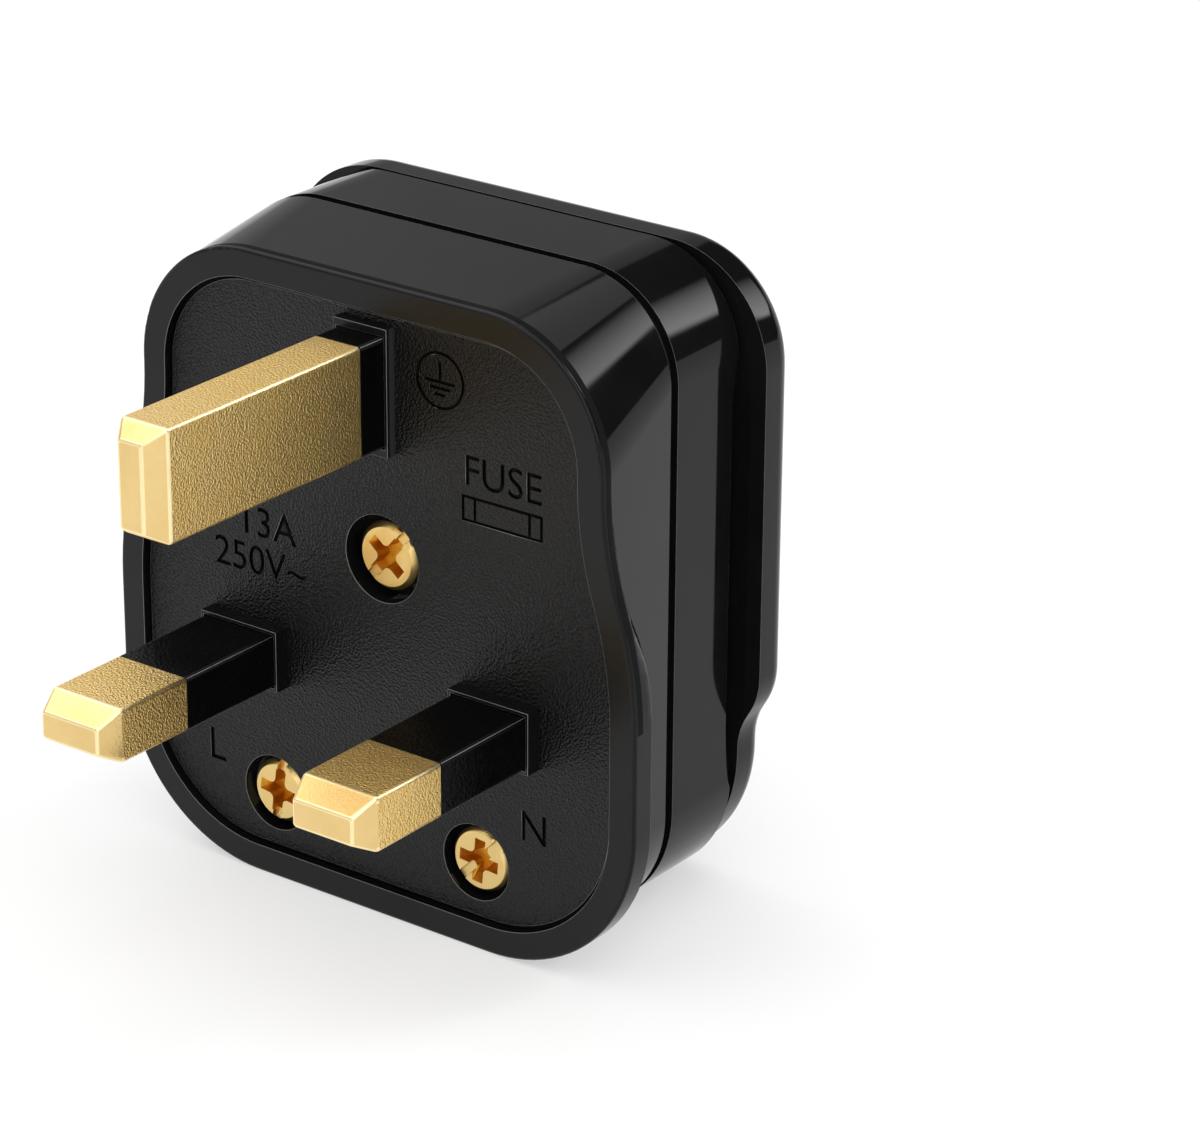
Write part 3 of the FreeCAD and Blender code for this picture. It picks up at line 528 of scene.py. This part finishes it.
def cross_outline(x, z, turn, corner_steps=4):
    """A cross with rounded inner corners."""
    centre = cross_half_wide + cross_lobe
    outline = []
    for quarter in range(4):
        start = turn + quarter * math.pi / 2
        local = [(cross_half_long, -cross_half_wide), (cross_half_long, cross_half_wide)]
        for step in range(corner_steps + 1):
            around = math.radians(270 - 90 * step / corner_steps)
            local.append((centre + cross_lobe * math.cos(around), centre + cross_lobe * math.sin(around)))
        for a, b in local:
            turned_x = x + a * math.cos(start) - b * math.sin(start)
            turned_z = z + a * math.sin(start) + b * math.cos(start)
            outline.append((turned_x, turned_z))
    return outline


def make_screw(node, slot_turn, cross_turn):
    """A screw with a slot and a cross in its head."""
    low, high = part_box(node)
    front = low.y
    middle = (low + high) / 2
    head_radius = (high.x - low.x) / 2
    piece = piece_for(node)
    reach_x = slot_half_long * math.cos(slot_turn)
    reach_z = slot_half_long * math.sin(slot_turn)
    slot = bar(middle.x - reach_x, middle.z - reach_z, middle.x + reach_x, middle.z + reach_z, slot_wide)
    cross = cross_outline(middle.x, middle.z, cross_turn)
    above = front - cutter_clear
    slot_floor = front + slot_deep
    slot_cutter = prism(slot, above, slot_floor, "slot")
    cross_cutter = prism(cross, above, front + cross_deep, "cross", cross_taper)
    cut(piece, [slot_cutter, cross_cutter])
    join_flats(piece)

    def screw_face(face):
        """The head and the slot's floor are bright; the cross and the slot's walls get a darker, deeper brass
        as painted shade.
        """
        if face.normal.y < -slot_floor_facing and abs(face.center.y - slot_floor) < near:
            return screw_brass
        sunk = recess_start < face.center.y - front < recess_end
        out = (face.center - middle).xz.length
        slot_wall = abs(face.normal.y) < slot_wall_facing and out < head_radius - head_margin
        return painted_shade_brass if sunk and (out < cross_half_long or slot_wall) else screw_brass

    dress(piece, [screw_brass, painted_shade_brass], screw_face)


make_screw("cover_screw", math.radians(50), math.radians(50))
make_screw("cord_grip_screw_left", math.radians(82), math.radians(82))
make_screw("cord_grip_screw_right", math.radians(45), math.radians(-5))


# Blades

blade_break = 0.16 * mm
blade_angle = math.radians(20)
blade_root_y = rim_y - 1 * mm
blade_corner = 0.4
sleeve_corner = 0.66
tip_facing = 0.2


def on_corner(face, least):
    """The face is part of a rounded long edge: its normal has at least this share along both X and Z."""
    return min(abs(face.normal.x), abs(face.normal.z)) > least


def past_root(edge):
    """The edge is on the blade's bare part."""
    return max(corner.co.y for corner in edge.verts) < blade_root_y


def blade_face(face):
    """Edges get a paler brass as a painted highlight, and the ground tip is smoother."""
    if face.material_index == broken or on_corner(face, blade_corner):
        return painted_brass_highlight
    return brass_tip if face.normal.y < -tip_facing else brass


def sleeve_face(face):
    """Rounded long edges are paler than the rest: a painted highlight."""
    return painted_edge_highlight if on_corner(face, sleeve_corner) else sleeve_black


def make_blade(node):
    """A blade with its tip's edges rounded and all its edges in a paler brass, a painted highlight."""
    piece = piece_for(node)
    break_edges(piece, past_root, blade_break, blade_angle)
    dress(piece, [brass, brass_tip, painted_brass_highlight], blade_face)


def make_sleeve(node):
    """A sleeve whose rounded long edges carry a pale grey painted highlight."""
    piece = piece_for(node)
    dress(piece, [sleeve_black, painted_edge_highlight], sleeve_face)


for node in ("earth_pin", "line_pin", "neutral_pin"):
    make_blade(node)
    make_sleeve(node + "_sleeve")

# Pieces that keep their CAD shape
finishes = {
    "brass": brass,
    "sleeve_black": sleeve_black,
    "grip_black": grip_black,
    "clip_metal": clip_metal,
    "plated_steel": plated_steel,
    "ceramic": ceramic,
}
for item in frame["nodes"].values():
    slot_name = item.data.materials[0].name
    if slot_name in finishes:
        item.material_slots[0].link = "OBJECT"
        item.material_slots[0].material = finishes[slot_name]

# Floor
floor_half = 1.5
floor_mesh = bpy.data.meshes.new("floor")
floor_corners = [(-floor_half, -floor_half, 0), (floor_half, -floor_half, 0),
                 (floor_half, floor_half, 0), (-floor_half, floor_half, 0)]
floor_mesh.from_pydata(floor_corners, [], [(0, 1, 2, 3)])
floor = linked(floor_mesh, "floor")
pale = finish_of("floor", (0.93, 0.93, 0.93), (0.95, 0.95, 0.95), (0.8, 0.9), patch=80 * mm, level=0.0)
floor_mesh.materials.append(pale)

# White background, seen directly and in metal and gloss: half of it near the part, where the shadow stays
near_white = 0.5
white_start = 0.12
white_end = 0.6
floor_tree = pale.node_tree
lit = floor_tree.nodes["Principled BSDF"].outputs["BSDF"]
output = floor_tree.nodes["Material Output"]
ray = place(floor_tree, "ShaderNodeLightPath").outputs
seen = combine(floor_tree, "MAXIMUM", ray["Is Camera Ray"], ray["Is Glossy Ray"])
seen = combine(floor_tree, "MAXIMUM", seen, ray["Is Transmission Ray"])
spot = place(floor_tree, "ShaderNodeTexCoord").outputs["Object"]
away = place(floor_tree, "ShaderNodeVectorMath", links={0: spot}, operation="LENGTH").outputs["Value"]
paleness = spread(floor_tree, away, near_white, 1.0, white_start, white_end)
share = combine(floor_tree, "MULTIPLY", seen, paleness)
white = place(floor_tree, "ShaderNodeEmission", {"Color": colour_of(1, 1, 1), "Strength": 1.0})
mixed = place(floor_tree, "ShaderNodeMixShader", links={0: share, 1: lit, 2: white.outputs["Emission"]})
floor_tree.links.new(mixed.outputs["Shader"], output.inputs["Surface"])


# Light

def lamp(name, spot, aim, wide, tall, power):
    """A soft area lamp that faces the aim."""
    data = bpy.data.lights.new(name, "AREA")
    data.shape = "RECTANGLE"
    data.size = wide
    data.size_y = tall
    data.energy = power
    made = linked(data, name)
    made.location = spot
    made.rotation_euler = (Vector(aim) - Vector(spot)).to_track_quat("-Z", "Y").to_euler()
    made.visible_camera = False


lamp_aim = (0, 0, 0.024)
lamp("lamp_over", spot=(-0.14, -0.06, 0.8), aim=lamp_aim, wide=1.3, tall=1.3, power=7.2)
lamp("lamp_right", spot=(0.75, -0.5, 0.6), aim=lamp_aim, wide=1.0, tall=1.0, power=4.2)

# World: strengths, and the directions' shares along X, Y and Z between which each part of it begins or ends
card_bright = 0.72
card_dim = 0.05
card_end_x = (-0.34, -0.3)
card_fade = 0.5
card_fade_y = (0.6, 0.74)
soft_box_bright = 7.8
soft_box_rise_x = (0.25, 0.56)
soft_box_end_x = (0.56, 0.59)
soft_box_low_z = (0.22, 0.26)
soft_box_high_z = (0.76, 0.8)
front_bright = 0.55
front_end_y = (-0.2, 0.1)
low_band_z = (0.08, 0.2)
dark_start = (0.3, 0.45)

world = bpy.data.worlds.new("studio")
scene.world = world
world.use_nodes = True
sky = world.node_tree
sky.nodes.clear()
towards = place(sky, "ShaderNodeTexCoord").outputs["Generated"]
parts = place(sky, "ShaderNodeSeparateXYZ", links={"Vector": towards})
along_x = parts.outputs["X"]
along_y = parts.outputs["Y"]
along_z = parts.outputs["Z"]

# A card behind on the left
card_side = spread(sky, along_x, card_bright, card_dim, *card_end_x)
card_rear = spread(sky, along_y, 1.0, card_fade, *card_fade_y)
card = combine(sky, "MULTIPLY", card_side, card_rear)

# A soft box behind on the right, brighter towards its right end
glow = spread(sky, along_x, 0.0, soft_box_bright, *soft_box_rise_x)
glow_end = spread(sky, along_x, 1.0, 0.0, *soft_box_end_x)
glow_low = spread(sky, along_z, 0.0, 1.0, *soft_box_low_z)
glow_high = spread(sky, along_z, 1.0, 0.0, *soft_box_high_z)
box_sides = combine(sky, "MULTIPLY", glow_end, glow_low)
box_shape = combine(sky, "MULTIPLY", box_sides, glow_high)
soft_box = combine(sky, "MULTIPLY", glow, box_shape)
behind = combine(sky, "ADD", card, soft_box)

# An even room in front
front_part = spread(sky, along_y, 1.0, 0.0, *front_end_y)
shade = place(sky, "ShaderNodeMix", {"B": front_bright}, {"Factor": front_part, "A": behind},
              data_type="FLOAT")

# A white band at the horizon, left dark behind on the right
low_band = spread(sky, along_z, 1.0, 0.0, *low_band_z)
right_part = spread(sky, along_x, 0.0, 1.0, *dark_start)
rear_part = spread(sky, along_y, 0.0, 1.0, *dark_start)
dark_part = combine(sky, "MULTIPLY", right_part, rear_part)
band = combine(sky, "SUBTRACT", low_band, dark_part)
whole = combine(sky, "MAXIMUM", shade.outputs["Result"], band)
light = place(sky, "ShaderNodeBackground", {"Strength": 1.0}, {"Color": whole})
place(sky, "ShaderNodeOutputWorld", links={"Surface": light.outputs["Background"]})

# Camera
camera_aim = Vector((0.012725, 0.010909, 0.026874))
camera_spot = Vector((0.17733, -0.21178, 0.1433))
camera_roll = Quaternion((0, 0, 1), math.radians(0.445))
camera_sensor = 36
camera_lens = 131.63
camera_data = bpy.data.cameras.new("camera")
camera_data.sensor_width = camera_sensor
camera_data.lens = camera_lens
camera = linked(camera_data, "camera")
camera.location = camera_spot
camera.rotation_mode = "QUATERNION"
camera.rotation_quaternion = (camera_aim - camera_spot).to_track_quat("-Z", "Y") @ camera_roll
scene.camera = camera
scene.view_settings.view_transform = "Standard"

bpy.context.view_layer.update()
